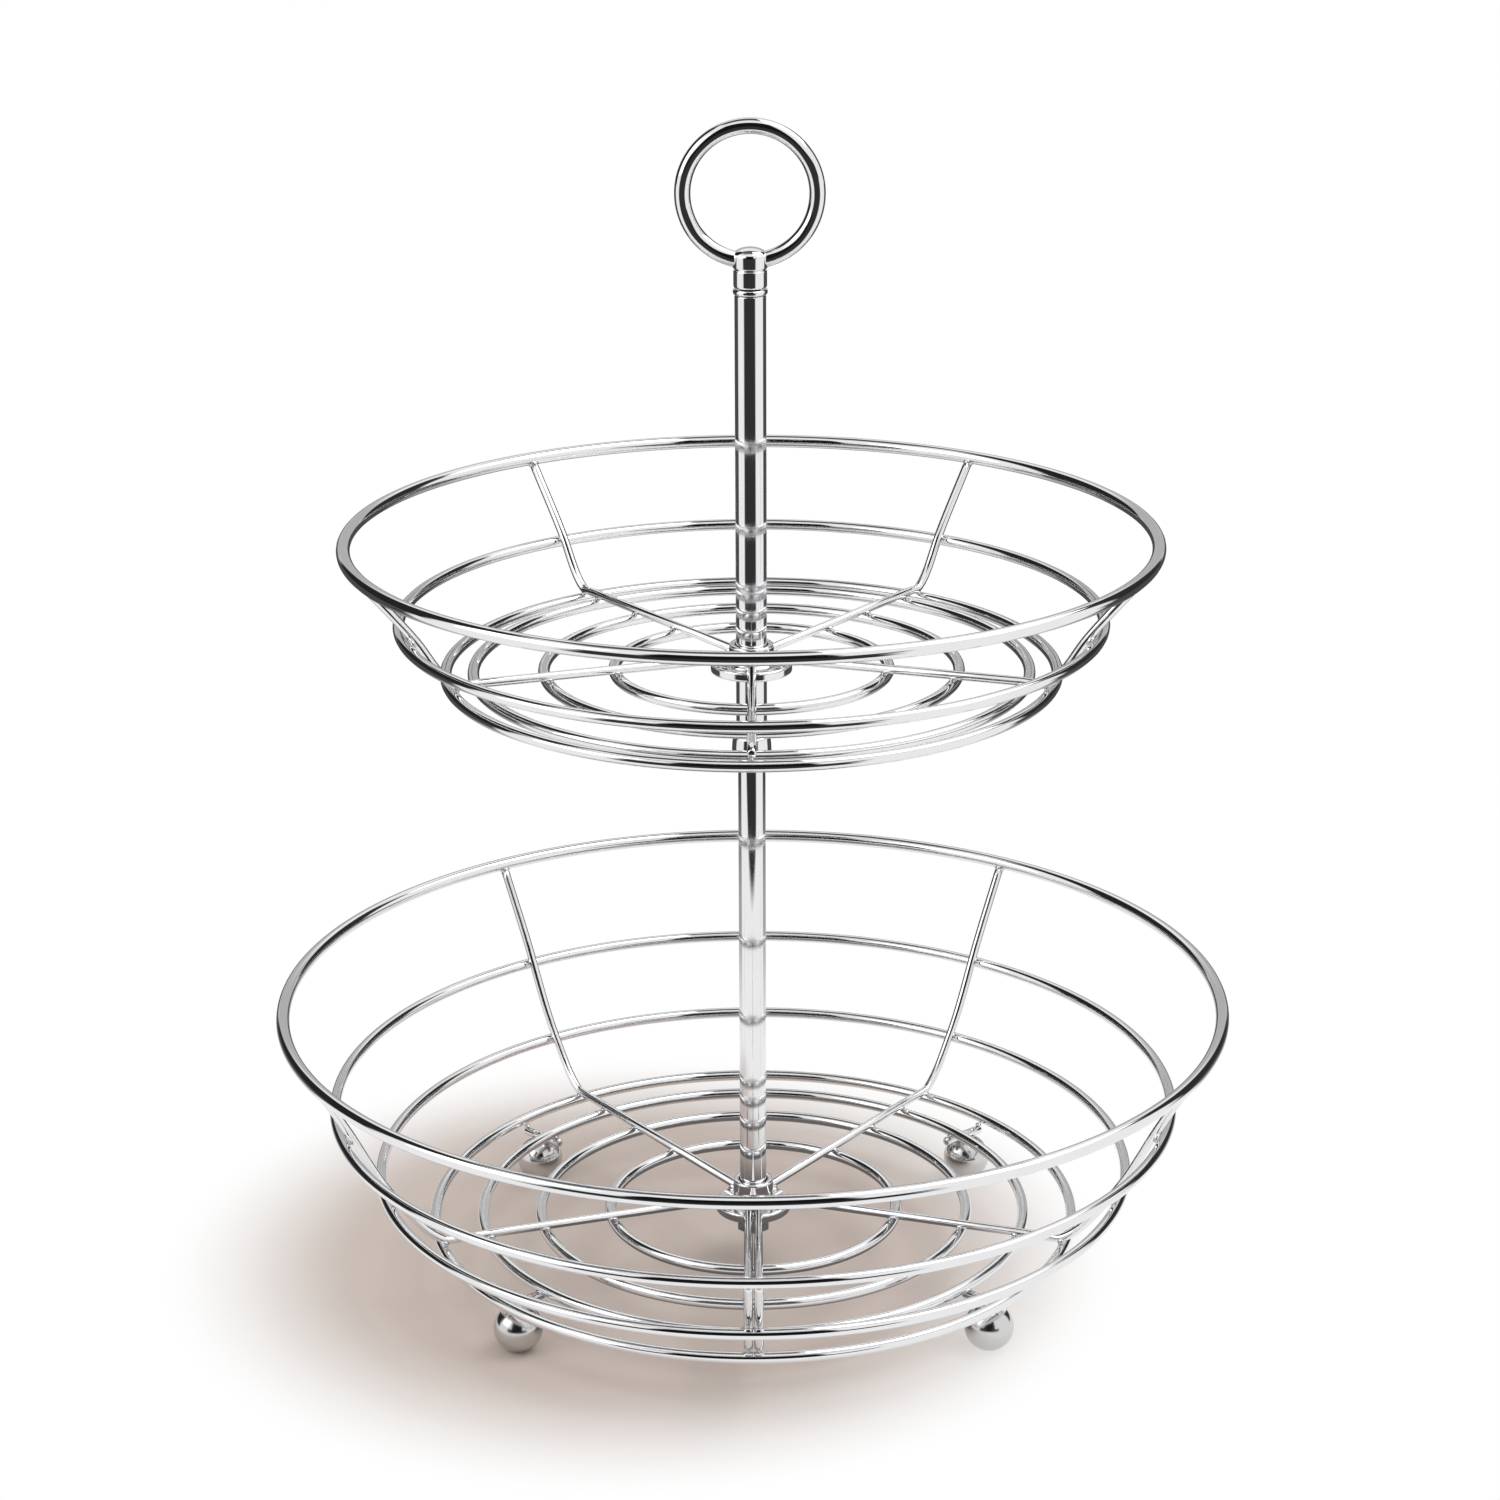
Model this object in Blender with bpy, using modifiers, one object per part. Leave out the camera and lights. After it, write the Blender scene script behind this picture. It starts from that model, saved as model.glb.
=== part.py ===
"""Two-tier wire fruit basket: two round wire bowls on a screwed pole with a ring handle and ball feet.

Metres, +Z up. The origin is on the surface that the basket stands on, under the pole.
The front is -Y. Angles round the pole are counted from the front towards +X.
"""

import math

import bpy
import bmesh
from mathutils import Matrix, Vector

OBJECT_NAME = "fruit_basket"

# Gap between neighbours, and how far a cutter runs past what it cuts
CLEARANCE = 0.0003
CUT_OVERRUN = 0.002

# Wire diameters
RIM_WIRE = 0.0042
RING_WIRE = 0.0036
RIB_WIRE = 0.0028
FOOT_BAR_WIRE = 0.0030
HANDLE_WIRE = 0.0049

# Lower basket: radii of the wires' centre lines, heights above the plane of the base rings
LOWER_RIM_RADIUS = 0.1500
LOWER_RIM_HEIGHT = 0.0740
LOWER_WALL_RADIUS = 0.1348
LOWER_WALL_HEIGHT = 0.0410
LOWER_SHOULDER_RADIUS = 0.1210
LOWER_SHOULDER_HEIGHT = 0.0170
LOWER_BASE_RADIUS = 0.1040
LOWER_BASE_RING_SHARES = (1.0, 0.85, 0.67, 0.45)

# Upper basket, the same way
UPPER_RIM_RADIUS = 0.1250
UPPER_RIM_HEIGHT = 0.0416
UPPER_WALL_RADIUS = 0.1090
UPPER_WALL_HEIGHT = 0.0165
UPPER_BASE_RADIUS = 0.0950
UPPER_BASE_RING_SHARES = (1.0, 0.91, 0.68, 0.45)

# From the lower base rings' plane to the upper one's
TIER_SPACING = 0.1850

# Ribs, from the front round. All but the front one reach up to the rim
RIB_COUNT = 5
RIB_END_GAP = 0.0012
RIB_HUB_OVERLAP = 0.0045

# Hubs
HUB_DISC_THICKNESS = 0.0030
HUB_EDGE_CHAMFER = 0.0006
SOCKET_WALL = 0.0019
LOWER_SOCKET_HEIGHT = 0.0080
LOWER_SOCKET_WEB = 0.0015
UPPER_SLEEVE_HEIGHT = 0.0060

# Pole
LOWER_TUBE_DIAMETER = 0.0086
UPPER_TUBE_DIAMETER = 0.0096
POLE_BORE = 0.0066
COLLAR_DROP = 0.0220
COLLAR_HEIGHT = 0.0100
COLLAR_DIAMETER = 0.0124
COLLAR_LIP = 0.0006
COLLAR_LOWER_SOCKET = 0.0048
COLLAR_UPPER_SOCKET = 0.0035
JOINT_STUD_LENGTH = 0.0300
UPPER_TUBE_RISE = 0.1174

# Fastening under the lower hub
WASHER_DIAMETER = 0.0180
WASHER_THICKNESS = 0.0012
NUT_ACROSS_FLATS = 0.0100
NUT_HEIGHT = 0.0050
STUD_PROUD = 0.0015
BASE_STUD_REACH = 0.0200

# Finial and handle
BEAD_HEIGHT = 0.0016
BEAD_PROUD = 0.0004
FINIAL_DIAMETER = 0.0102
FINIAL_COLLAR_HEIGHT = 0.0057
FINIAL_WAIST_DEPTH = 0.0005
FINIAL_WAIST_HEIGHT = 0.0008
FINIAL_DOME_DIAMETER = 0.0106
FINIAL_DOME_RISE = 0.0028
FINIAL_COVER = 0.0014
FINIAL_SPIGOT = 0.0120
HANDLE_RADIUS = 0.0202

# Feet
BALL_DIAMETER = 0.0155
BALL_FLAT_DEPTH = 0.00035
SADDLE_DEPTH = 0.0012
FOOT_ANGLES = (50, 130, 230, 310)
FOOT_BAR_OVERHANG = 0.0022
FOOT_BAR_SETBACK = 0.0016

# Facets: every ring has a corner where a rib crosses it
RIM_STEPS = 60
RING_STEPS = 40
SMALL_RING_STEPS = 25
TURNED_STEPS = 20
BALL_ARC_POINTS = 8
DOME_ARC_POINTS = 5
WALL_SPAN_STEPS = 3
WIRE_BEVEL_RESOLUTION = 2
MERGE_DISTANCE = 0.00001

# Colour and roughness of the metals
CHROME = ((0.82, 0.82, 0.83, 1.0), 0.06)
SATIN_STEEL = ((0.66, 0.66, 0.66, 1.0), 0.22)
ZINC = ((0.58, 0.59, 0.60, 1.0), 0.35)


# Heights worked out from the foot upwards

BALL_RADIUS = BALL_DIAMETER / 2
BALL_CENTRE_Z = BALL_RADIUS - BALL_FLAT_DEPTH
FOOT_BAR_Z = BALL_CENTRE_Z + BALL_RADIUS - SADDLE_DEPTH + CLEARANCE + FOOT_BAR_WIRE / 2
LOWER_BASE_Z = FOOT_BAR_Z + FOOT_BAR_WIRE / 2 + CLEARANCE + RING_WIRE / 2
UPPER_BASE_Z = LOWER_BASE_Z + TIER_SPACING
RIB_LIFT = RING_WIRE / 2 + CLEARANCE + RIB_WIRE / 2
HUB_DISC_DROP = CLEARANCE + RIB_WIRE / 2 - RIB_LIFT

STUD_RADIUS = POLE_BORE / 2 - CLEARANCE
STUD_HOLE_RADIUS = POLE_BORE / 2
LOWER_SOCKET_RADIUS = LOWER_TUBE_DIAMETER / 2 + CLEARANCE
UPPER_SOCKET_RADIUS = UPPER_TUBE_DIAMETER / 2 + CLEARANCE
COLLAR_TOP_Z = UPPER_BASE_Z - COLLAR_DROP
COLLAR_BOTTOM_Z = COLLAR_TOP_Z - COLLAR_HEIGHT
UPPER_TUBE_TOP_Z = UPPER_BASE_Z + UPPER_TUBE_RISE


# Scene, collections and materials

def clear_scene():
    for item in list(bpy.data.objects):
        bpy.data.objects.remove(item, do_unlink=True)


def new_collection(name):
    collection = bpy.data.collections.new(name)
    bpy.context.scene.collection.children.link(collection)
    return collection


def metal(name, look):
    colour, roughness = look
    material = bpy.data.materials.new(name)
    material.use_nodes = True
    shader = material.node_tree.nodes["Principled BSDF"]
    shader.inputs["Base Color"].default_value = colour
    shader.inputs["Metallic"].default_value = 1.0
    shader.inputs["Roughness"].default_value = roughness
    return material


def place(name, data, collection, material=None):
    item = bpy.data.objects.new(name, data)
    collection.objects.link(item)
    if material is not None:
        data.materials.append(material)
    return item


def cut(target, cutter):
    cutter.hide_render = True
    cutter.display_type = "WIRE"
    boolean = target.modifiers.new(cutter.name, "BOOLEAN")
    boolean.operation = "DIFFERENCE"
    boolean.solver = "EXACT"
    boolean.object = cutter


# Wires

def polar(radius, height, angle):
    """A point at a radius and height, at an angle in degrees from the front towards +X."""
    turn = math.radians(angle)
    return Vector((radius * math.sin(turn), -radius * math.cos(turn), height))


def wire(name, points, diameter, cyclic, collection, material):
    """A round wire along the points, open with filled caps or closed on itself."""
    curve = bpy.data.curves.new(name, "CURVE")
    curve.dimensions = "3D"
    curve.bevel_depth = diameter / 2
    curve.bevel_resolution = WIRE_BEVEL_RESOLUTION
    curve.use_fill_caps = True
    spline = curve.splines.new("POLY")
    spline.points.add(len(points) - 1)
    for point, position in zip(spline.points, points):
        point.co = (*position, 1.0)
    spline.use_cyclic_u = cyclic
    spline.use_smooth = True
    return place(name, curve, collection, material)


def ring(name, radius, height, diameter, steps, collection, material):
    points = [polar(radius, height, 360 * step / steps) for step in range(steps)]
    return wire(name, points, diameter, True, collection, material)


# Turned pieces

def turned(name, profile, closed, steps, collection, material=None):
    """A profile of (radius, height) points, outer side first and from the top down, turned round Z."""
    mesh = bpy.data.meshes.new(name)
    edges = [(step, step + 1) for step in range(len(profile) - 1)]
    if closed:
        edges.append((len(profile) - 1, 0))
    mesh.from_pydata([(radius, 0, height) for radius, height in profile], edges, [])
    item = place(name, mesh, collection, material)
    screw = item.modifiers.new("turn", "SCREW")
    screw.axis = "Z"
    screw.angle = math.tau
    screw.steps = steps
    screw.render_steps = steps
    screw.use_merge_vertices = True
    screw.merge_threshold = MERGE_DISTANCE
    screw.use_normal_calculate = False
    screw.use_smooth_shade = True
    return item


def sleeve_profile(outer, inner, bottom, top):
    return [(outer, top), (outer, bottom), (inner, bottom), (inner, top)]


def ellipse_arc(radius, rise, centre_height, start, end, count):
    """Points of an ellipse about the axis, from one angle above the horizon to another."""
    points = []
    for step in range(count):
        angle = math.radians(start + (end - start) * step / (count - 1))
        points.append((radius * math.cos(angle), centre_height + rise * math.sin(angle)))
    return points


def cylinder_cutter(name, radius, length, matrix, steps, collection):
    mesh = bpy.data.meshes.new(name)
    shape = bmesh.new()
    bmesh.ops.create_cone(shape, cap_ends=True, segments=steps, radius1=radius, radius2=radius, depth=length)
    shape.to_mesh(mesh)
    shape.free()
    item = place(name, mesh, collection)
    item.matrix_world = matrix
    return item


# Baskets

def basket_rings(prefix, base_z, sections, base_radius, base_shares):
    """The rings from the rim inwards: name, radius, height, wire diameter and steps."""
    rings = []
    for index, (label, radius, height) in enumerate(sections):
        diameter, steps = (RIM_WIRE, RIM_STEPS) if index == 0 else (RING_WIRE, RING_STEPS)
        rings.append((prefix + label, radius, base_z + height, diameter, steps))
    for index, share in enumerate(base_shares):
        steps = RING_STEPS if index < len(base_shares) / 2 else SMALL_RING_STEPS
        name = f"{prefix}_base_ring_{index + 1}"
        rings.append((name, base_radius * share, base_z, RING_WIRE, steps))
    return rings


def inner_normal(before, at, after):
    """Unit normal of a bowl's wall at a ring, turned to the inside, from the rings on both sides."""
    total = Vector((0, 0))
    for outer, inner in ((before, at), (at, after)):
        along = Vector((outer[0] - inner[0], outer[1] - inner[1])).normalized()
        total += Vector((-along.y, along.x))
    return total.normalized()


def hermite(start, start_way, end, end_way, steps):
    """Points of a smooth curve that leaves start along start_way and reaches end along end_way."""
    reach = (end - start).length
    points = []
    for step in range(steps):
        share = step / steps
        square = share * share
        cube = square * share
        points.append(start * (2 * cube - 3 * square + 1)
                      + start_way * reach * (cube - 2 * square + share)
                      + end * (3 * square - 2 * cube)
                      + end_way * reach * (cube - square))
    return points


def rib_path(places, first, inner_radius):
    """A rib's (radius, height) points, from its outer end along the inside of the rings to the hub.

    places are the rings' radii and heights, from the rim inwards. first is the ring that the rib
    starts at: it butts under a ring of the wall, the rim among them, and lies on a ring of the base.
    """
    base_height = places[-1][1]
    wall_end = next(index for index, place in enumerate(places) if place[1] == base_height)
    contacts = []
    for index in range(min(first + 1, wall_end), wall_end + 1):
        normal = inner_normal(places[index - 1], places[index], places[index + 1])
        contacts.append((Vector(places[index]) + normal * RIB_LIFT, Vector((-normal.y, normal.x))))

    if first < wall_end:
        outermost = Vector(places[first])
        way = (contacts[0][0] - outermost).normalized()
        diameter = RIM_WIRE if first == 0 else RING_WIRE
        contacts.insert(0, (outermost + way * (diameter / 2 + CLEARANCE), way))
    points = []
    for (start, start_way), (end, end_way) in zip(contacts, contacts[1:]):
        points += hermite(start, start_way, end, end_way, WALL_SPAN_STEPS)
    points.append(contacts[-1][0])
    flat_radii = (places[wall_end + 1][0], inner_radius)
    return points + [Vector((radius, base_height + RIB_LIFT)) for radius in flat_radii]


def rib(name, path, angle, sideways, collection, material):
    """A rib along its path at an angle round the pole, moved sideways where it is one of a pair."""
    side = polar(1, 0, angle + 90) * sideways
    points = [polar(spot.x, spot.y, angle) + side for spot in path]
    return wire(name, points, RIB_WIRE, False, collection, material)


def tall_ribs(prefix, places, inner_radius, collection, material):
    """The ribs that carry the rim: all but the one at the front."""
    path = rib_path(places, 0, inner_radius)
    for number in range(1, RIB_COUNT):
        rib(f"{prefix}_rib_{number}", path, 360 * number / RIB_COUNT, 0, collection, material)


def hub_profile(base_z, disc_radius, boss_radius, boss_height, bore, inner_points):
    """Disc under the ribs' ends with a boss on it. inner_points run up the inside, below the mouth."""
    disc_top = base_z - HUB_DISC_DROP
    disc_bottom = disc_top - HUB_DISC_THICKNESS
    boss_top = disc_top + boss_height
    return ([(boss_radius - HUB_EDGE_CHAMFER, boss_top), (boss_radius, boss_top - HUB_EDGE_CHAMFER),
             (boss_radius, disc_top), (disc_radius - HUB_EDGE_CHAMFER, disc_top),
             (disc_radius, disc_top - HUB_EDGE_CHAMFER), (disc_radius, disc_bottom)]
            + inner_points(disc_bottom) + [(bore, boss_top)])


def lower_basket(parts, chrome):
    sections = (("_rim", LOWER_RIM_RADIUS, LOWER_RIM_HEIGHT),
                ("_wall_ring", LOWER_WALL_RADIUS, LOWER_WALL_HEIGHT),
                ("_shoulder_ring", LOWER_SHOULDER_RADIUS, LOWER_SHOULDER_HEIGHT))
    rings = basket_rings("lower", LOWER_BASE_Z, sections, LOWER_BASE_RADIUS, LOWER_BASE_RING_SHARES)
    for name, radius, height, diameter, steps in rings:
        ring(name, radius, height, diameter, steps, parts, chrome)

    boss_radius = LOWER_SOCKET_RADIUS + SOCKET_WALL
    end_radius = boss_radius + RIB_END_GAP
    places = [(radius, height) for _, radius, height, _, _ in rings]
    tall_ribs("lower", places, end_radius, parts, chrome)
    front_path = rib_path(places, 1, end_radius)
    pair_offset = (RIB_WIRE + CLEARANCE) / 2
    rib("lower_front_rib_left", front_path, 0, -pair_offset, parts, chrome)
    rib("lower_front_rib_right", front_path, 0, pair_offset, parts, chrome)

    def inside(disc_bottom):
        web_top = disc_bottom + LOWER_SOCKET_WEB
        return [(STUD_HOLE_RADIUS, disc_bottom), (STUD_HOLE_RADIUS, web_top), (LOWER_SOCKET_RADIUS, web_top)]

    profile = hub_profile(LOWER_BASE_Z, end_radius + RIB_HUB_OVERLAP, boss_radius, LOWER_SOCKET_HEIGHT,
                          LOWER_SOCKET_RADIUS, inside)
    turned("lower_hub", profile, True, TURNED_STEPS, parts, chrome)


def upper_basket(parts, chrome):
    sections = (("_rim", UPPER_RIM_RADIUS, UPPER_RIM_HEIGHT),
                ("_wall_ring", UPPER_WALL_RADIUS, UPPER_WALL_HEIGHT))
    rings = basket_rings("upper", UPPER_BASE_Z, sections, UPPER_BASE_RADIUS, UPPER_BASE_RING_SHARES)
    for name, radius, height, diameter, steps in rings:
        ring(name, radius, height, diameter, steps, parts, chrome)

    boss_radius = UPPER_SOCKET_RADIUS + SOCKET_WALL
    end_radius = boss_radius + RIB_END_GAP
    places = [(radius, height) for _, radius, height, _, _ in rings]
    tall_ribs("upper", places, end_radius, parts, chrome)
    rib("upper_front_rib", rib_path(places, 2, end_radius), 0, 0, parts, chrome)

    def inside(disc_bottom):
        return [(UPPER_SOCKET_RADIUS, disc_bottom)]

    profile = hub_profile(UPPER_BASE_Z, end_radius + RIB_HUB_OVERLAP, boss_radius, UPPER_SLEEVE_HEIGHT,
                          UPPER_SOCKET_RADIUS, inside)
    turned("upper_hub", profile, True, TURNED_STEPS, parts, chrome)


# Pole

def lower_hub_bottom():
    return LOWER_BASE_Z - HUB_DISC_DROP - HUB_DISC_THICKNESS


def collar_web():
    """Bottom and top of the wall between the collar's two sockets."""
    return COLLAR_BOTTOM_Z + COLLAR_LOWER_SOCKET, COLLAR_TOP_Z - COLLAR_UPPER_SOCKET


def pole_tubes(parts, chrome):
    web_bottom, web_top = collar_web()
    lower_end = lower_hub_bottom() + LOWER_SOCKET_WEB + CLEARANCE
    turned("lower_tube", sleeve_profile(LOWER_TUBE_DIAMETER / 2, POLE_BORE / 2, lower_end,
                                        web_bottom - CLEARANCE), True, TURNED_STEPS, parts, chrome)
    turned("upper_tube", sleeve_profile(UPPER_TUBE_DIAMETER / 2, POLE_BORE / 2, web_top + CLEARANCE,
                                        UPPER_TUBE_TOP_Z), True, TURNED_STEPS, parts, chrome)


def joint_collar(parts, chrome):
    """Barrel-shaped collar: the lower tube enters it from below and the upper tube from above."""
    web_bottom, web_top = collar_web()
    end_radius = UPPER_SOCKET_RADIUS + COLLAR_LIP
    bulge = COLLAR_DIAMETER / 2 - end_radius
    outside = []
    for step in range(DOME_ARC_POINTS + 1):
        share = step / DOME_ARC_POINTS
        outside.append((end_radius + bulge * math.sin(math.pi * share), COLLAR_TOP_Z - COLLAR_HEIGHT * share))
    inside = [(LOWER_SOCKET_RADIUS, COLLAR_BOTTOM_Z), (LOWER_SOCKET_RADIUS, web_bottom),
              (STUD_HOLE_RADIUS, web_bottom), (STUD_HOLE_RADIUS, web_top),
              (UPPER_SOCKET_RADIUS, web_top), (UPPER_SOCKET_RADIUS, COLLAR_TOP_Z)]
    turned("joint_collar", outside + inside, True, TURNED_STEPS, parts, chrome)


def stud(name, bottom, top, parts, steel):
    turned(name, [(0, top), (STUD_RADIUS, top), (STUD_RADIUS, bottom), (0, bottom)], False,
           TURNED_STEPS, parts, steel)


def fastening(parts, cutters, steel):
    """Studs inside the pole, and the washer and nut under the lower hub."""
    web_bottom, web_top = collar_web()
    middle = (web_bottom + web_top) / 2
    stud("joint_stud", middle - JOINT_STUD_LENGTH / 2, middle + JOINT_STUD_LENGTH / 2, parts, steel)

    washer_top = lower_hub_bottom() - CLEARANCE
    washer_bottom = washer_top - WASHER_THICKNESS
    turned("base_washer", sleeve_profile(WASHER_DIAMETER / 2, STUD_HOLE_RADIUS, washer_bottom, washer_top),
           True, TURNED_STEPS, parts, steel)

    nut_top = washer_bottom - CLEARANCE
    nut_middle = nut_top - NUT_HEIGHT / 2
    mesh = bpy.data.meshes.new("base_nut")
    shape = bmesh.new()
    corner_radius = NUT_ACROSS_FLATS / 2 / math.cos(math.pi / 6)
    bmesh.ops.create_cone(shape, cap_ends=True, segments=6, radius1=corner_radius, radius2=corner_radius,
                          depth=NUT_HEIGHT, matrix=Matrix.Translation((0, 0, nut_middle)))
    shape.to_mesh(mesh)
    shape.free()
    nut = place("base_nut", mesh, parts, steel)
    hole = cylinder_cutter("nut_hole", STUD_HOLE_RADIUS, NUT_HEIGHT + CUT_OVERRUN,
                           Matrix.Translation((0, 0, nut_middle)), TURNED_STEPS, cutters)
    cut(nut, hole)

    stud("base_stud", nut_top - NUT_HEIGHT - STUD_PROUD, lower_hub_bottom() + BASE_STUD_REACH, parts, steel)


# Finial and handle

def finial_and_handle(parts, cutters, chrome):
    """Bead, finial and ring handle. The ring rests on the finial's collar and passes through its dome."""
    bead_top = UPPER_TUBE_TOP_Z + CLEARANCE + BEAD_HEIGHT
    bead_bottom = UPPER_TUBE_TOP_Z + CLEARANCE
    bead_radius = (FINIAL_DIAMETER - BEAD_PROUD) / 2
    bead_profile = ([(bead_radius, bead_top)]
                    + [(bead_radius + BEAD_PROUD * math.cos(angle), (bead_top + bead_bottom) / 2
                        + BEAD_HEIGHT / 2 * math.sin(angle)) for angle in (math.pi / 4, 0, -math.pi / 4)]
                    + [(bead_radius, bead_bottom), (STUD_HOLE_RADIUS, bead_bottom),
                       (STUD_HOLE_RADIUS, bead_top)])
    turned("finial_bead", bead_profile, True, TURNED_STEPS, parts, chrome)

    radius = FINIAL_DIAMETER / 2
    bottom = bead_top + CLEARANCE
    waist = bottom + FINIAL_COLLAR_HEIGHT
    wire_z = waist + HANDLE_WIRE / 2
    dome_radius = FINIAL_DOME_DIAMETER / 2
    shoulder_z = wire_z + HANDLE_WIRE / 2 + CLEARANCE + FINIAL_COVER - FINIAL_DOME_RISE
    dome = ellipse_arc(dome_radius, FINIAL_DOME_RISE, shoulder_z, 90, 0, DOME_ARC_POINTS)
    dome[0] = (0, dome[0][1])
    spigot_bottom = bottom - FINIAL_SPIGOT
    profile = dome + [(dome_radius, waist + FINIAL_WAIST_HEIGHT / 2), (radius - FINIAL_WAIST_DEPTH, waist),
                      (radius, waist - FINIAL_WAIST_HEIGHT / 2), (radius, bottom), (STUD_RADIUS, bottom),
                      (STUD_RADIUS, spigot_bottom), (0, spigot_bottom)]
    finial = turned("finial", profile, False, TURNED_STEPS, parts, chrome)

    centre_z = wire_z + HANDLE_RADIUS
    turns = [math.tau * step / RING_STEPS for step in range(RING_STEPS)]
    circle = [Vector((HANDLE_RADIUS * math.sin(turn), 0, centre_z - HANDLE_RADIUS * math.cos(turn)))
              for turn in turns]
    wire("handle_ring", circle, HANDLE_WIRE, True, parts, chrome)
    bore = wire("handle_bore_curve", circle, HANDLE_WIRE + 2 * CLEARANCE, True, cutters, None)
    cut(finial, curve_to_mesh(bore, "handle_bore", cutters))


def curve_to_mesh(curve_object, name, collection):
    """A curve as a mesh object, which a Boolean can use. The curve is removed."""
    bpy.context.view_layer.update()
    evaluated = curve_object.evaluated_get(bpy.context.evaluated_depsgraph_get())
    mesh = bpy.data.meshes.new_from_object(evaluated)
    shape = bmesh.new()
    shape.from_mesh(mesh)
    bmesh.ops.remove_doubles(shape, verts=shape.verts, dist=MERGE_DISTANCE)
    shape.to_mesh(mesh)
    shape.free()
    item = place(name, mesh, collection)
    item.matrix_world = curve_object.matrix_world.copy()
    bpy.data.objects.remove(curve_object, do_unlink=True)
    return item


# Feet

def feet(parts, cutters, chrome, satin):
    """Ball feet, each hung by a saddle cut from a short bar under the two outer base rings."""
    outer_ring = LOWER_BASE_RADIUS * LOWER_BASE_RING_SHARES[0]
    inner_ring = LOWER_BASE_RADIUS * LOWER_BASE_RING_SHARES[1]
    foot_radius = (outer_ring + inner_ring) / 2
    flat_angle = -math.degrees(math.asin(BALL_CENTRE_Z / BALL_RADIUS))
    profile = ellipse_arc(BALL_RADIUS, BALL_RADIUS, 0, 90, flat_angle, BALL_ARC_POINTS)
    profile[0] = (0, BALL_RADIUS)
    profile.append((0, -BALL_CENTRE_Z))
    for number, angle in enumerate(FOOT_ANGLES, start=1):
        bar_ends = [polar(outer_ring - FOOT_BAR_SETBACK, FOOT_BAR_Z, angle),
                    polar(inner_ring - FOOT_BAR_OVERHANG, FOOT_BAR_Z, angle)]
        wire(f"foot_bar_{number}", bar_ends, FOOT_BAR_WIRE, False, parts, chrome)
        ball = turned(f"foot_ball_{number}", profile, False, TURNED_STEPS, parts, satin)
        ball.location = polar(foot_radius, BALL_CENTRE_Z, angle)
        lie_along = Matrix.Rotation(math.radians(angle), 4, "Z") @ Matrix.Rotation(math.radians(90), 4, "X")
        matrix = Matrix.Translation(polar(foot_radius, FOOT_BAR_Z, angle)) @ lie_along
        saddle = cylinder_cutter(f"saddle_{number}", FOOT_BAR_WIRE / 2 + CLEARANCE,
                                 BALL_DIAMETER + CUT_OVERRUN, matrix, SMALL_RING_STEPS, cutters)
        cut(ball, saddle)


def main():
    clear_scene()
    parts = new_collection(OBJECT_NAME)
    cutters = new_collection("cutters")
    chrome = metal("chrome", CHROME)
    satin = metal("satin_steel", SATIN_STEEL)
    zinc = metal("zinc", ZINC)
    lower_basket(parts, chrome)
    upper_basket(parts, chrome)
    pole_tubes(parts, chrome)
    joint_collar(parts, chrome)
    fastening(parts, cutters, zinc)
    finial_and_handle(parts, cutters, chrome)
    feet(parts, cutters, chrome, satin)


main()
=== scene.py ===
"""Looks of the two-tier wire fruit basket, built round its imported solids.

Metres, +Z up, the front faces -Y. Angles round the pole are degrees from the front towards +X.
Each wire, turned piece and ball is made again where its solid is, rounder, and welds are added.
"""

import math

import bmesh
import bpy
from mathutils import Matrix, Vector


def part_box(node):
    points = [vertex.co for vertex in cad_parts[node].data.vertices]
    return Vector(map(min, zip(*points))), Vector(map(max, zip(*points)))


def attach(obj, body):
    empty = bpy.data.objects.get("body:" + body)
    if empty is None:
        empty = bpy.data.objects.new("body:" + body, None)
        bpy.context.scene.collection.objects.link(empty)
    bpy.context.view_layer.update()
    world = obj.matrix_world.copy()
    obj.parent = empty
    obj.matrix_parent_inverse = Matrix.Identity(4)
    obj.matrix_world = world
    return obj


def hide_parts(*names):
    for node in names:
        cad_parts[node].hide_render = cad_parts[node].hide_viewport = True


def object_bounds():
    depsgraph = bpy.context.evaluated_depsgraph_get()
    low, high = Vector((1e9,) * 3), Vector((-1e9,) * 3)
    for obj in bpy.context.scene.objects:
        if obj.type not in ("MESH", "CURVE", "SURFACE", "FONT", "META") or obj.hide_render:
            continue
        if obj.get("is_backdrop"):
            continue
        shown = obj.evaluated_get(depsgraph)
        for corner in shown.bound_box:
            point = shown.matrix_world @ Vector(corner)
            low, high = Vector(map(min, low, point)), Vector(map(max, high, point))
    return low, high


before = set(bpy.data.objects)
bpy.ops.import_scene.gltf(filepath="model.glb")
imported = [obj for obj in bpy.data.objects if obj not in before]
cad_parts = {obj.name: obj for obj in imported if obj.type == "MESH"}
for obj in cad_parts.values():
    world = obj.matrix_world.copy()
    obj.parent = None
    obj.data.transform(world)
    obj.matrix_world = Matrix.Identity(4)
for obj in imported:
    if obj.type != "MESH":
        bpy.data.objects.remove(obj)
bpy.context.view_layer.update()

UP = Vector((0, 0, 1))

# The gap between welded solids, and the diameters of the wires
GAP = 0.0003
RIM_WIRE = 0.0042
RING_WIRE = 0.0036
RIB_WIRE = 0.0028
FOOT_BAR_WIRE = 0.0030
HANDLE_WIRE = 0.0049

# How finely the pieces are made
RING_STEPS = 240
HANDLE_STEPS = 144
RIB_SPAN_STEPS = 12
WIRE_SIDES = 20
LATHE_STEPS = 72
BEAD_ROWS = 12
BEAD_SIDES = 20

# Points nearer than this are one point, and open wire ends are rounded off by this
SAME_PLACE = 0.000001
WIRE_END_EASE = 0.0004


# Node helpers

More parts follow.
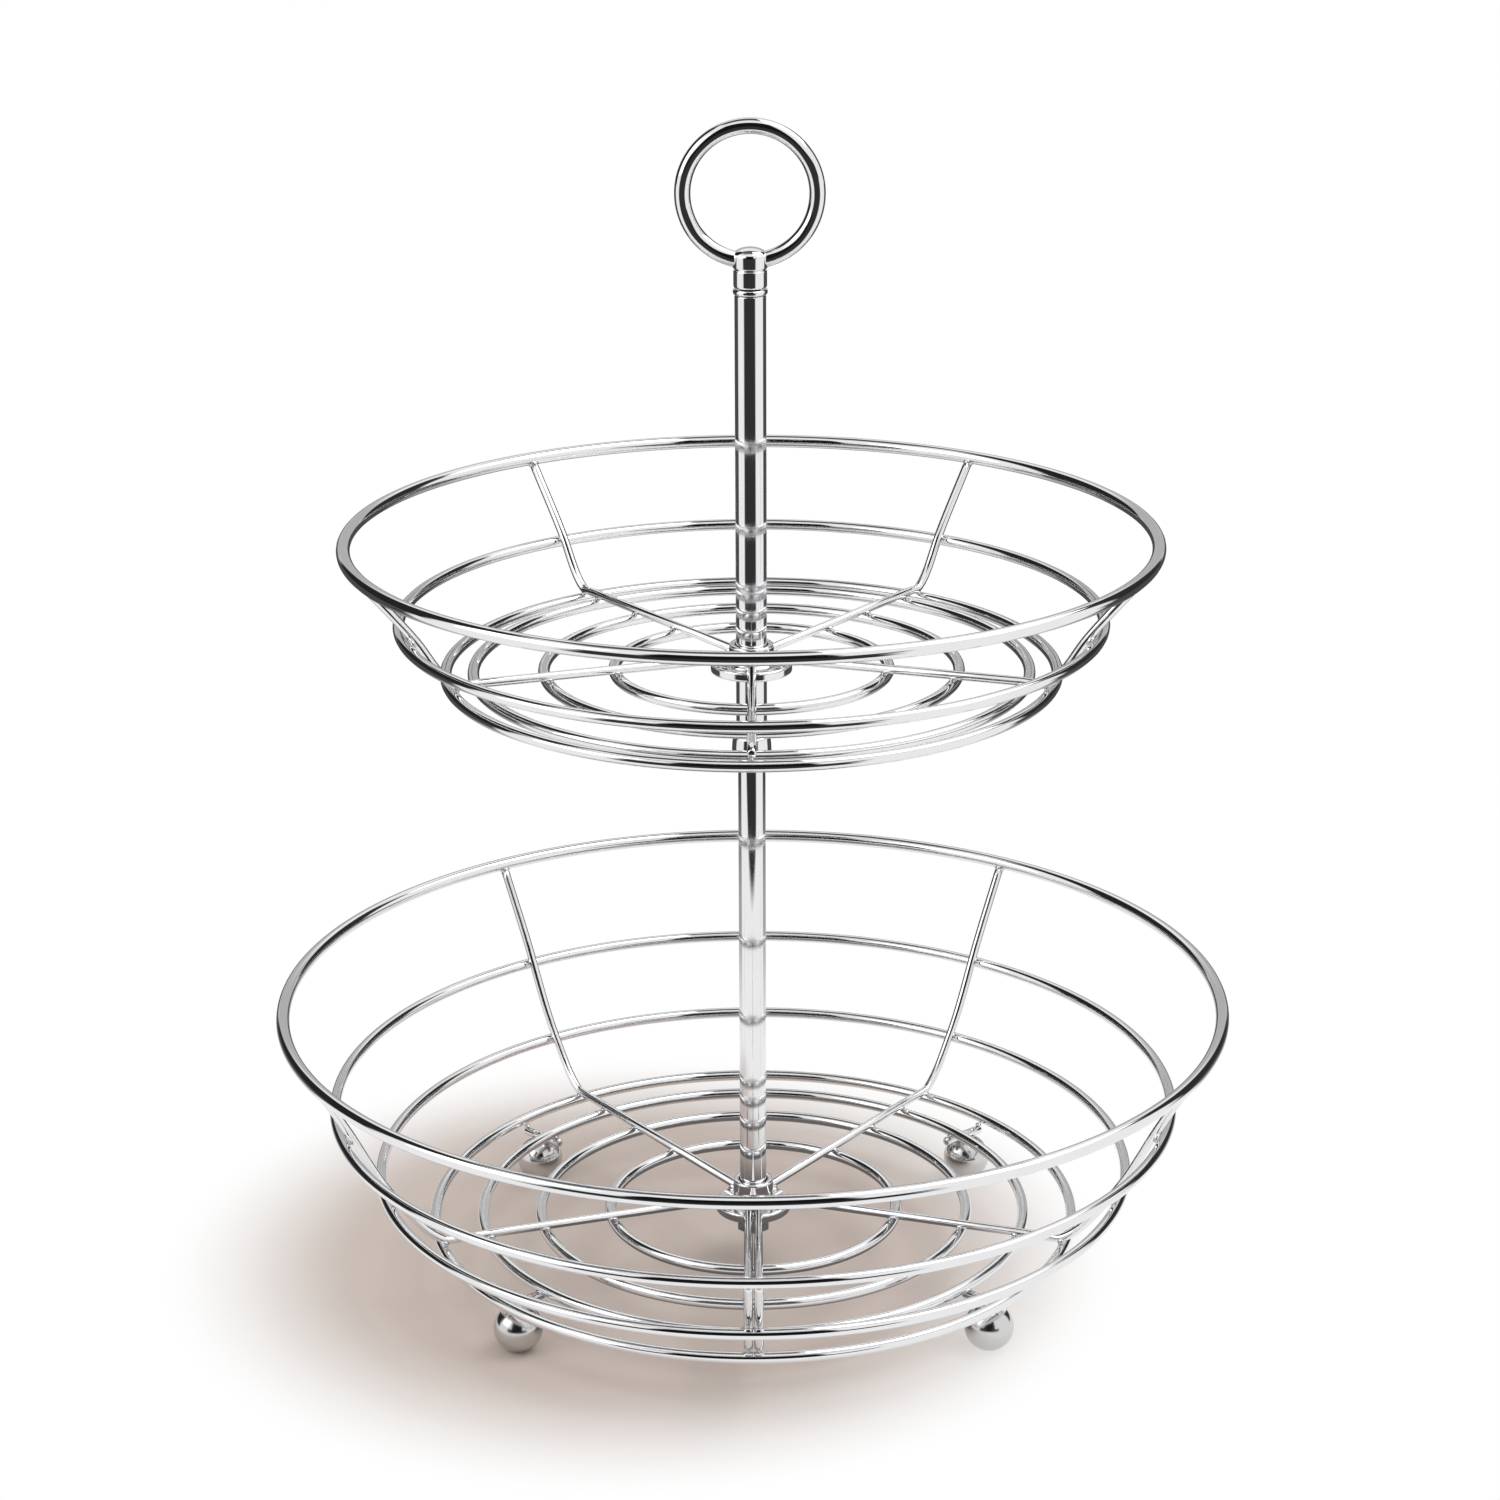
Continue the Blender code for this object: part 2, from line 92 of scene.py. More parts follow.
def add_node(tree, kind, inputs=None, **settings):
    """A node whose inputs are set to plain values or linked from other nodes' sockets."""
    node = tree.nodes.new(kind)
    for key, value in settings.items():
        setattr(node, key, value)
    for key, value in (inputs or {}).items():
        socket = node.inputs[key]
        if isinstance(value, bpy.types.NodeSocket):
            tree.links.new(value, socket)
        else:
            socket.default_value = value
    return node


def maths(tree, operation, *values):
    node = add_node(tree, "ShaderNodeMath", dict(enumerate(values)), operation=operation)
    return node.outputs[0]


def map_range(tree, value, low, high, to_low, to_high, smooth=False):
    node = add_node(tree, "ShaderNodeMapRange",
                    {"Value": value, "From Min": low, "From Max": high,
                     "To Min": to_low, "To Max": to_high},
                    interpolation_type="SMOOTHSTEP" if smooth else "LINEAR")
    return node.outputs["Result"]


def mix_colour(tree, share, first, second):
    node = add_node(tree, "ShaderNodeMix", {0: share, 6: first, 7: second}, data_type="RGBA")
    return node.outputs[2]


def grey(level):
    return (level, level, level, 1)


# Metals

CLOUD_SCALE = 60.0
PATCH_SCALE = 420.0
HAIR_SCALE = (900.0, 9000.0, 900.0)
HAIR_TILT = (0.5, 0.9, 0.3)
HAIR_LIMITS = (0.62, 0.72)
HAIR_ROUGHNESS = 0.05
PATCH_LIMITS = (0.3, 0.7)


def new_material(name):
    material = bpy.data.materials.new(name)
    material.use_nodes = True
    material.node_tree.nodes.clear()
    return material, material.node_tree


def metal(name, dark, light, smooth, rough, scratch, ripple):
    """Plated or bare metal: cloudy colour, uneven roughness, hairline scratches, a faint ripple.

    dark and light are the ends of its colour, smooth and rough of its roughness. scratch and
    ripple are how deep the hairlines and the ripple are, in metres.
    """
    material, tree = new_material(name)
    place = add_node(tree, "ShaderNodeTexCoord").outputs["Object"]
    cloud = add_node(tree, "ShaderNodeTexNoise",
                     {"Vector": place, "Scale": CLOUD_SCALE, "Detail": 4.0})
    patch = add_node(tree, "ShaderNodeTexNoise",
                     {"Vector": place, "Scale": PATCH_SCALE, "Detail": 6.0, "Roughness": 0.6})
    turned = add_node(tree, "ShaderNodeMapping",
                      {"Vector": place, "Rotation": HAIR_TILT, "Scale": HAIR_SCALE})
    hair = add_node(tree, "ShaderNodeTexNoise",
                    {"Vector": turned.outputs["Vector"], "Scale": 1.0, "Detail": 3.0})
    hairline = map_range(tree, hair.outputs["Fac"], *HAIR_LIMITS, 0.0, 1.0)
    colour = mix_colour(tree, cloud.outputs["Fac"], (*dark, 1), (*light, 1))
    wander = map_range(tree, patch.outputs["Fac"], *PATCH_LIMITS, smooth, rough)
    roughness = maths(tree, "ADD", wander, maths(tree, "MULTIPLY", hairline, HAIR_ROUGHNESS))
    wave = add_node(tree, "ShaderNodeBump",
                    {"Strength": 1.0, "Distance": ripple, "Height": cloud.outputs["Fac"]})
    mark = add_node(tree, "ShaderNodeBump",
                    {"Strength": 1.0, "Distance": scratch, "Height": hairline,
                     "Normal": wave.outputs["Normal"]})
    shader = add_node(tree, "ShaderNodeBsdfPrincipled",
                      {"Base Color": colour, "Metallic": 1.0, "Roughness": roughness,
                       "Normal": mark.outputs["Normal"]})
    add_node(tree, "ShaderNodeOutputMaterial", {"Surface": shader.outputs["BSDF"]})
    return material


CHROME = metal("bright_chrome", (0.78, 0.78, 0.79), (0.84, 0.84, 0.85), 0.035, 0.075, 2e-7, 8e-6)
POLE_CHROME = metal("pole_chrome", (0.79, 0.79, 0.80), (0.85, 0.85, 0.86), 0.03, 0.065, 2e-7, 4e-6)
WELD = metal("plated_weld", (0.66, 0.66, 0.67), (0.80, 0.80, 0.81), 0.12, 0.26, 2e-6, 6e-5)
BALL = metal("foot_steel", (0.60, 0.595, 0.59), (0.68, 0.675, 0.67), 0.12, 0.20, 1e-6, 8e-6)
ZINC = metal("zinc_plate", (0.50, 0.51, 0.53), (0.62, 0.63, 0.64), 0.24, 0.38, 2e-6, 3e-5)


# Mesh helpers

def turns(steps, whole=math.tau):
    """The angles of equal steps once round, in radians, or in degrees if whole is 360."""
    return [whole * step / steps for step in range(steps)]


def polar(radius, height, angle):
    turn = math.radians(angle)
    return Vector((radius * math.sin(turn), -radius * math.cos(turn), height))


def sidewards(angle):
    """The way along a ring at this angle."""
    return polar(1, 0, angle + 90)


def piece(name, vertices, faces, material, slot, *nodes):
    """A mesh that rides on the body and stands for the CAD nodes named."""
    mesh = bpy.data.meshes.new(name)
    mesh.from_pydata([tuple(v) for v in vertices], [], faces)
    mesh.materials.append(material)
    shape = bmesh.new()
    shape.from_mesh(mesh)
    bmesh.ops.recalc_face_normals(shape, faces=shape.faces)
    shape.to_mesh(mesh)
    shape.free()
    for polygon in mesh.polygons:
        polygon.use_smooth = True
    item = bpy.data.objects.new(name, mesh)
    bpy.context.scene.collection.objects.link(item)
    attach(item, "root")
    if nodes:
        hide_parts(*nodes)
    return item


class Shape:
    """Vertices and faces that several tubes, lathes or beads are added to."""

    def __init__(self):
        self.vertices = []
        self.faces = []

    def loops(self, loops, cyclic, tips=()):
        """Skins loops of as many points each. tips are the middles of the fans at the two ends."""
        base = len(self.vertices)
        count = len(loops[0])
        for loop in loops:
            self.vertices += loop
        spans = len(loops) if cyclic else len(loops) - 1
        for row in range(spans):
            start = base + row * count
            after = base + (row + 1) % len(loops) * count
            for column in range(count):
                beside = (column + 1) % count
                self.faces.append((start + column, start + beside, after + beside, after + column))
        for tip, row in zip(tips, (0, len(loops) - 1)):
            start = base + row * count
            middle = len(self.vertices)
            self.vertices.append(tip)
            for column in range(count):
                self.faces.append((start + column, start + (column + 1) % count, middle))

    def tube(self, points, side, radius, cyclic=False):
        """A round wire along points in one plane, whose normal is side. Open ends are eased.

        radius is a number, or a list with one for each point.
        """
        points = [Vector(p) for p in points]
        widths = radius if isinstance(radius, list) else [radius] * len(points)
        if not cyclic:
            ease = WIRE_END_EASE
            start_way = (points[0] - points[1]).normalized()
            end_way = (points[-1] - points[-2]).normalized()
            points = ([points[0], points[0] - start_way * ease] + points[1:-1]
                      + [points[-1] - end_way * ease, points[-1]])
            widths = [widths[0] - ease, widths[0]] + widths[1:-1] + [widths[-1], widths[-1] - ease]
        loops = []
        last = len(points) - 1
        for index, point in enumerate(points):
            before = points[index - 1] if cyclic or index > 0 else point
            after = points[(index + 1) % len(points)] if cyclic or index < last else point
            normal = (after - before).normalized().cross(side)
            loops.append([point + (normal * math.cos(turn) + side * math.sin(turn)) * widths[index]
                          for turn in turns(WIRE_SIDES)])
        self.loops(loops, cyclic, () if cyclic else (points[0], points[-1]))

    def lathe(self, profile, centre=(0, 0, 0), steps=LATHE_STEPS, closed=False):
        """A profile of (radius, height) points turned round a vertical line through centre.

        A profile that isn't closed starts and ends on that line.
        """
        centre = Vector(centre)
        loops = [[centre + polar(radius, height, angle) for angle in turns(steps, 360)]
                 for radius, height in profile if radius > SAME_PLACE]
        tips = [centre + UP * height for _, height in (profile[0], profile[-1])]
        self.loops(loops, closed, () if closed else tips)

    def bead(self, centre, along, across, up, half):
        """A rounded weld bead: half is its half length, half width and half height."""
        loops = []
        for row in range(1, BEAD_ROWS):
            tilt = math.pi * row / BEAD_ROWS - math.pi / 2
            loops.append([centre + up * half[2] * math.sin(tilt)
                          + (along * half[0] * math.cos(turn) + across * half[1] * math.sin(turn))
                          * math.cos(tilt) for turn in turns(BEAD_SIDES)])
        self.loops(loops, False, (centre - up * half[2], centre + up * half[2]))

    def build(self, name, material, slot, *nodes):
        return piece(name, self.vertices, self.faces, material, slot, *nodes)


EASE_STEPS = 3
EASE_EDGE_SHARE = 0.4
EASE_GUARD = 1.25
EASE_LEAST = 0.00002
NEARLY_STRAIGHT = math.radians(165)


def eased(profile, radius, closed=False):
    """The profile with rounded corners, and a point beside each arc that keeps the flats flat."""
    points = [Vector(p) for p in profile]
    result = []
    count = len(points)
    for index, point in enumerate(points):
        if not closed and index in (0, count - 1):
            result.append(point)
            continue
        before = points[index - 1] - point
        after = points[(index + 1) % count] - point
        reach = min(radius, before.length * EASE_EDGE_SHARE, after.length * EASE_EDGE_SHARE)
        if reach < EASE_LEAST or before.angle(after) > NEARLY_STRAIGHT:
            result.append(point)
            continue
        start = point + before.normalized() * reach
        end = point + after.normalized() * reach
        result.append(point + before.normalized() * reach * EASE_GUARD)
        for step in range(EASE_STEPS + 1):
            share = step / EASE_STEPS
            result.append(start * (1 - share) ** 2 + point * 2 * share * (1 - share)
                          + end * share ** 2)
        result.append(point + after.normalized() * reach * EASE_GUARD)
    return [point for index, point in enumerate(result)
            if (index == 0 and not closed) or (point - result[index - 1]).length > SAME_PLACE]


# Rings, each with the low bump of its butt weld at the back

SEAM_ANGLE = 164
SEAM_HALF_WIDTH = 0.9
SEAM_RISE = 0.035


def ring(node, wire, slot):
    """A ring in place of its solid. Gives the radius and height of its centre line."""
    low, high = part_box(node)
    radius = -low.y - wire / 2
    height = (low.z + high.z) / 2
    widths = []
    for angle in turns(RING_STEPS, 360):
        off = (angle - SEAM_ANGLE) / SEAM_HALF_WIDTH
        widths.append(wire / 2 * (1 + SEAM_RISE * math.exp(-off * off)))
    shape = Shape()
    shape.tube([polar(radius, height, angle) for angle in turns(RING_STEPS, 360)], UP, widths,
               cyclic=True)
    shape.build(node + "_wire", CHROME, slot, node)
    return Vector((radius, height))


# Ribs, along the inside of the rings

RIB_COUNT = 5
RIB_LIFT = RING_WIRE / 2 + GAP + RIB_WIRE / 2
WELD_LIFT = (RING_WIRE + GAP) / 2
LEVEL_TOLERANCE = 0.0002


def inner_normal(before, at, after):
    total = Vector((0, 0))
    for outer, inner in ((before, at), (at, after)):
        along = (outer - inner).normalized()
        total += Vector((-along.y, along.x))
    return total.normalized()


def hermite(start, start_way, end, end_way):
    reach = (end - start).length
    points = []
    for step in range(RIB_SPAN_STEPS):
        share = step / RIB_SPAN_STEPS
        points.append(start * (2 * share ** 3 - 3 * share ** 2 + 1)
                      + start_way * reach * (share ** 3 - 2 * share ** 2 + share)
                      + end * (3 * share ** 2 - 2 * share ** 3)
                      + end_way * reach * (share ** 3 - share ** 2))
    return points


def rib_path(places, first, inner_radius):
    """A rib's (radius, height) points, and the (place, normal, way) of each weld on a ring.

    It starts under the ring numbered first, or on the outer base ring if first is that one,
    runs down the inside of the wall, and lies on the base rings as far as inner_radius.
    """
    base_height = places[-1].y
    wall_end = next(index for index, spot in enumerate(places)
                    if abs(spot.y - base_height) < LEVEL_TOLERANCE)
    contacts = []
    welds = []
    for index in range(min(first + 1, wall_end), wall_end + 1):
        normal = inner_normal(places[index - 1], places[index], places[index + 1])
        way = Vector((-normal.y, normal.x))
        contacts.append((places[index] + normal * RIB_LIFT, way))
        welds.append((places[index] + normal * WELD_LIFT, normal, way))
    for place in places[wall_end + 1:]:
        welds.append((place + Vector((0, WELD_LIFT)), Vector((0, 1)), Vector((-1, 0))))
    if first < wall_end:
        way = (contacts[0][0] - places[first]).normalized()
        diameter = RIM_WIRE if first == 0 else RING_WIRE
        contacts.insert(0, (places[first] + way * (diameter / 2 + GAP), way))
    points = []
    for (start, start_way), (end, end_way) in zip(contacts, contacts[1:]):
        points += hermite(start, start_way, end, end_way)
    points.append(contacts[-1][0])
    for radius in (places[wall_end + 1].x, inner_radius):
        points.append(Vector((radius, base_height + RIB_LIFT)))
    return points, welds


def rib(name, path, angle, sideways=0.0):
    side = sidewards(angle)
    shape = Shape()
    shape.tube([polar(spot.x, spot.y, angle) + side * sideways for spot in path], side,
               RIB_WIRE / 2)
    shape.build(name + "_wire", CHROME, "chrome_rib", name)


# Weld beads: half length, half width and half height
CROSSING_BEAD = (0.0009, 0.0008, 0.0004)
FRONT_CROSSING_BEAD = (0.0009, 0.0006, 0.0004)
BUTT_BEAD = (0.0017, 0.0016, 0.0008)
HUB_BEAD = (0.0022, 0.0021, 0.00075)
PAIR_HUB_BEAD = (0.0022, 0.0034, 0.00075)
FOOT_BAR_BEAD = (0.0010, 0.0011, 0.0006)
BALL_BEAD = (0.0024, 0.0020, 0.0008)

# How much and how fast the crossing beads' lengths differ, and how far the others are moved
BEAD_UNEVENNESS = 0.12
BEAD_WANDER = 2.1
BUTT_BEAD_RISE = 0.0002
HUB_BEAD_SHIFT = 0.0004


def crossing_beads(shape, welds, angle, half, sideways=0.0):
    """A squeezed-out bead at each crossing of a rib and a ring."""
    side = sidewards(angle)
    half_length, half_width, half_height = half
    for number, (spot, normal, way) in enumerate(welds):
        along = polar(way.x, way.y, angle)
        up = polar(normal.x, normal.y, angle)
        uneven = 1 + BEAD_UNEVENNESS * math.sin(number * BEAD_WANDER + angle)
        shape.bead(polar(spot.x, spot.y, angle) + side * sideways, along, side, up,
                   (half_length * uneven, half_width, half_height))


def butt_bead(shape, path, angle, sideways=0.0):
    """The fillet where a rib butts under a ring."""
    way = (path[0] - path[1]).normalized()
    spot = path[0] + way * BUTT_BEAD_RISE
    along = polar(way.x, way.y, angle)
    side = sidewards(angle)
    shape.bead(polar(spot.x, spot.y, angle) + side * sideways, side, along.cross(side), along,
               BUTT_BEAD)


BASE_RING_COUNT = 4


def basket(prefix, wall, front_names, front_first, inner_radius):
    """The rings, ribs and welds of one basket. Gives the (radius, height) of its rings.

    wall names its rings from the rim down to the base, front_names the one or two ribs at the
    front, which start at the ring numbered front_first. All ribs end at inner_radius.
    """
    rim, *others = [f"{prefix}_{name}" for name in wall]
    others += [f"{prefix}_base_ring_{number + 1}" for number in range(BASE_RING_COUNT)]
    places = [ring(rim, RIM_WIRE, "chrome_rim")]
    places += [ring(node, RING_WIRE, "chrome_ring") for node in others]

    beads = Shape()
    path, welds = rib_path(places, 0, inner_radius)
    for number in range(1, RIB_COUNT):
        angle = 360 * number / RIB_COUNT
        rib(f"{prefix}_rib_{number}", path, angle)
        crossing_beads(beads, welds, angle, CROSSING_BEAD)
        butt_bead(beads, path, angle)
    path, welds = rib_path(places, front_first, inner_radius)
    offset = (RIB_WIRE + GAP) / 2 if len(front_names) == 2 else 0
    for name, sign in zip(front_names, (-1, 1)):
        rib(name, path, 0, offset * sign)
        crossing_beads(beads, welds, 0, FRONT_CROSSING_BEAD, offset * sign)
        if offset:
            butt_bead(beads, path, 0, offset * sign)

    hub_low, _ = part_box(prefix + "_hub")
    bead_radius = (inner_radius - hub_low.y) / 2 + HUB_BEAD_SHIFT
    bead_z = places[-1].y + RING_WIRE / 2 + GAP
    for number, angle in enumerate(turns(RIB_COUNT, 360)):
        half = PAIR_HUB_BEAD if number == 0 and offset else HUB_BEAD
        beads.bead(polar(bead_radius, bead_z, angle), polar(1, 0, angle), sidewards(angle), UP,
                   half)
    beads.build(prefix + "_welds", WELD, "chrome_rib")
    return places


lower_places = basket("lower", ("rim", "wall_ring", "shoulder_ring"),
                      ("lower_front_rib_left", "lower_front_rib_right"), 1, 0.0077)
basket("upper", ("rim", "wall_ring"), ("upper_front_rib",), 2, 0.0082)


# Pole, hubs and fastening

BORE = 0.0033
STUD_RADIUS = 0.0030
STUD_EASE = 0.0004
LOWER_TUBE_RADIUS = 0.0043
UPPER_TUBE_RADIUS = 0.0048
WASHER_RADIUS = 0.0090
SLEEVE_EASE = 0.0003

COLLAR_STEPS = 12
COLLAR_RADIUS = 0.0062
COLLAR_END_RADIUS = UPPER_TUBE_RADIUS + GAP + 0.0006
COLLAR_FULLNESS = 0.8
SOCKET_PLAY = GAP / 3
LOWER_SOCKET_DEPTH = 0.0048
UPPER_SOCKET_DEPTH = 0.0035

HUB_DISC = 0.0030
HUB_EASE = 0.0007


def span(node):
    low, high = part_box(node)
    return low.z, high.z


def turned(node, profile, ease, material, slot, closed=True):
    """A turned piece with eased edges, in place of its solid."""
    shape = Shape()
    shape.lathe(eased(profile, ease, closed), closed=closed)
    shape.build(node + "_turned", material, slot, node)


def sleeve(node, radius, material, slot):
    """A tube or washer."""
    bottom, top = span(node)
    turned(node, [(radius, top), (radius, bottom), (BORE, bottom), (BORE, top)], SLEEVE_EASE,
           material, slot)


def collar():
    """The barrel-shaped joint collar, with a web between the sockets of the two tubes."""
    bottom, top = span("joint_collar")
    profile = []
    for step in range(COLLAR_STEPS + 1):
        share = step / COLLAR_STEPS
        bulge = math.sin(math.pi * share) ** COLLAR_FULLNESS
        profile.append((COLLAR_END_RADIUS + (COLLAR_RADIUS - COLLAR_END_RADIUS) * bulge,
                        top + (bottom - top) * share))
    lower_socket = LOWER_TUBE_RADIUS + SOCKET_PLAY
    upper_socket = UPPER_TUBE_RADIUS + SOCKET_PLAY
    web_bottom, web_top = bottom + LOWER_SOCKET_DEPTH, top - UPPER_SOCKET_DEPTH
    profile += [(lower_socket, bottom), (lower_socket, web_bottom), (BORE, web_bottom),
                (BORE, web_top), (upper_socket, web_top), (upper_socket, top)]
    shape = Shape()
    shape.lathe(profile, closed=True)
    shape.build("joint_collar_turned", POLE_CHROME, "chrome_pole", "joint_collar")


def hub(node, boss_radius, tube_radius, web=0.0):
    """A disc with a boss round the tube. A web closes its bottom but for the stud's bore."""
    low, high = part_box(node)
    disc_radius = -low.y
    disc_top = low.z + HUB_DISC
    inner_radius = tube_radius + GAP
    profile = [(boss_radius, high.z), (boss_radius, disc_top), (disc_radius, disc_top),
               (disc_radius, low.z)]
    if web:
        profile += [(BORE, low.z), (BORE, low.z + web)]
    profile += [(inner_radius, low.z + web), (inner_radius, high.z)]
    turned(node, profile, HUB_EASE, POLE_CHROME, "chrome_pole")


sleeve("lower_tube", LOWER_TUBE_RADIUS, POLE_CHROME, "chrome_pole")
sleeve("upper_tube", UPPER_TUBE_RADIUS, POLE_CHROME, "chrome_pole")
collar()
hub("lower_hub", 0.0065, LOWER_TUBE_RADIUS, web=0.0015)
hub("upper_hub", 0.0070, UPPER_TUBE_RADIUS)

low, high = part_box("joint_stud")
turned("joint_stud", [(0, high.z), (STUD_RADIUS, high.z), (STUD_RADIUS, low.z), (0, low.z)],
       STUD_EASE, ZINC, "zinc_fastener", closed=False)

THREAD_PITCH = 0.001
THREAD_DEPTH = 0.00045
THREAD_LEAD_IN = 0.0005
THREAD_STEPS = 36
ROWS_PER_PITCH = 8


def threaded(low, high):
    """A vertical thread on the pole's line: every turn of its profile rises by one pitch."""
    rows = int((high - low) / THREAD_PITCH * ROWS_PER_PITCH)
    loops = []
    for row in range(rows + 1):
        height = low + (high - low) * row / rows
        end_cut = max(0, THREAD_LEAD_IN - min(height - low, high - height))
        loop = []
        for step in range(THREAD_STEPS):
            phase = (height / THREAD_PITCH - step / THREAD_STEPS) % 1
            crest = STUD_RADIUS - THREAD_DEPTH * abs(2 * phase - 1) - end_cut
            loop.append(polar(crest, height, 360 * step / THREAD_STEPS))
        loops.append(loop)
    shape = Shape()
    shape.loops(loops, False, (UP * low, UP * high))
    return shape


low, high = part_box("base_stud")
threaded(low.z, high.z).build("base_stud_thread", ZINC, "zinc_fastener", "base_stud")
sleeve("base_washer", WASHER_RADIUS, ZINC, "zinc_fastener")

NUT_BORE = 0.0030
NUT_BORE_CHAMFER = 0.0005
NUT_BORE_CHAMFER_DEPTH = 0.0006
NUT_FACE_RADIUS = 0.00485
NUT_HALF_WIDTH = 0.0050
NUT_CORNER_SLOPE = math.tan(math.radians(30))
NUT_STEPS = 72
NUT_SHARP_ANGLE = math.radians(28)


def nut():
    """A hexagon nut with chamfered corners on both faces and a chamfered bore."""
    bottom, top = span("base_nut")
    sixth = math.tau / 6
    hexagon = [NUT_HALF_WIDTH / math.cos(turn % sixth - sixth / 2) for turn in turns(NUT_STEPS)]
    rows = []
    for z, inwards in ((bottom, 1), (top, -1)):
        end = [[(NUT_BORE, z + inwards * NUT_BORE_CHAMFER_DEPTH)] * NUT_STEPS,
               [(NUT_BORE + NUT_BORE_CHAMFER, z)] * NUT_STEPS,
               [(NUT_FACE_RADIUS, z)] * NUT_STEPS,
               [(radius, z + inwards * (radius - NUT_FACE_RADIUS) * NUT_CORNER_SLOPE)
                for radius in hexagon]]
        rows += end[::inwards]
    shape = Shape()
    angles = turns(NUT_STEPS, 360)
    shape.loops([[polar(radius, z, angle) for (radius, z), angle in zip(row, angles)]
                 for row in rows], True)
    item = shape.build("base_nut_hexagon", ZINC, "zinc_fastener", "base_nut")
    item.data.set_sharp_from_angle(angle=NUT_SHARP_ANGLE)


nut()


# Finial and ring handle

FINIAL_BEAD_RADIUS = 0.0049
FINIAL_BEAD_BULGE = 0.0004
FINIAL_BEAD_HALF = 0.0008
FINIAL_RADIUS = 0.0051
FINIAL_EASE = 0.0008
WAIST_RISE = 0.0057
WAIST_HALF = 0.0004
WAIST_RADIUS = FINIAL_RADIUS - 0.0005
DOME_RADIUS = 0.0053
DOME_RISE = 0.0028


def finial_bead():
    """The fine bead under the finial. Gives the height of its top."""
    bottom, top = span("finial_bead")
    profile = [(FINIAL_BEAD_RADIUS, top)]
    for degrees in range(80, -81, -20):
        turn = math.radians(degrees)
        profile.append((FINIAL_BEAD_RADIUS + FINIAL_BEAD_BULGE * math.cos(turn),
                        (top + bottom) / 2 + FINIAL_BEAD_HALF * math.sin(turn)))
    profile += [(FINIAL_BEAD_RADIUS, bottom), (BORE, bottom), (BORE, top)]
    shape = Shape()
    shape.lathe(profile, closed=True)
    shape.build("finial_bead_turned", POLE_CHROME, "chrome_pole", "finial_bead")
    return top


def finial(bottom):
    """The domed head with its waist, and the spigot that goes down into the tube."""
    low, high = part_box("finial")
    waist = bottom + WAIST_RISE
    profile = []
    for degrees in range(90, -1, -6):
        turn = math.radians(degrees)
        profile.append((DOME_RADIUS * math.cos(turn), high.z - DOME_RISE * (1 - math.sin(turn))))
    profile += [(DOME_RADIUS, waist + WAIST_HALF), (WAIST_RADIUS, waist),
                (FINIAL_RADIUS, waist - WAIST_HALF), (FINIAL_RADIUS, bottom),
                (STUD_RADIUS, bottom), (STUD_RADIUS, low.z), (0, low.z)]
    turned("finial", profile, FINIAL_EASE, POLE_CHROME, "chrome_pole", closed=False)


def handle():
    handle_low, handle_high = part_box("handle_ring")
    radius = (handle_high.z - handle_low.z) / 2 - HANDLE_WIRE / 2
    height = (handle_high.z + handle_low.z) / 2
    shape = Shape()
    shape.tube([Vector((radius * math.sin(turn), 0, height - radius * math.cos(turn)))
                for turn in turns(HANDLE_STEPS)], Vector((0, 1, 0)), HANDLE_WIRE / 2, cyclic=True)
    shape.build("handle_ring_wire", CHROME, "chrome_handle", "handle_ring")


finial(finial_bead() + GAP)
handle()


# Feet

FOOT_ANGLES = (50, 130, 230, 310)
BALL_RADIUS = 0.00775
BALL_CENTRE_Z = BALL_RADIUS - 0.00035
BALL_STEPS = 64
BALL_ARC_STEPS = 40
BALL_FLAT_EASE = 0.0003
BALL_BEAD_SINK = 0.0008
BAR_END_INSET = 0.0016
BAR_OVERHANG = 0.0022
BAR_BEAD_INSET = 0.0022
BAR_BEAD_RISE = 0.0001


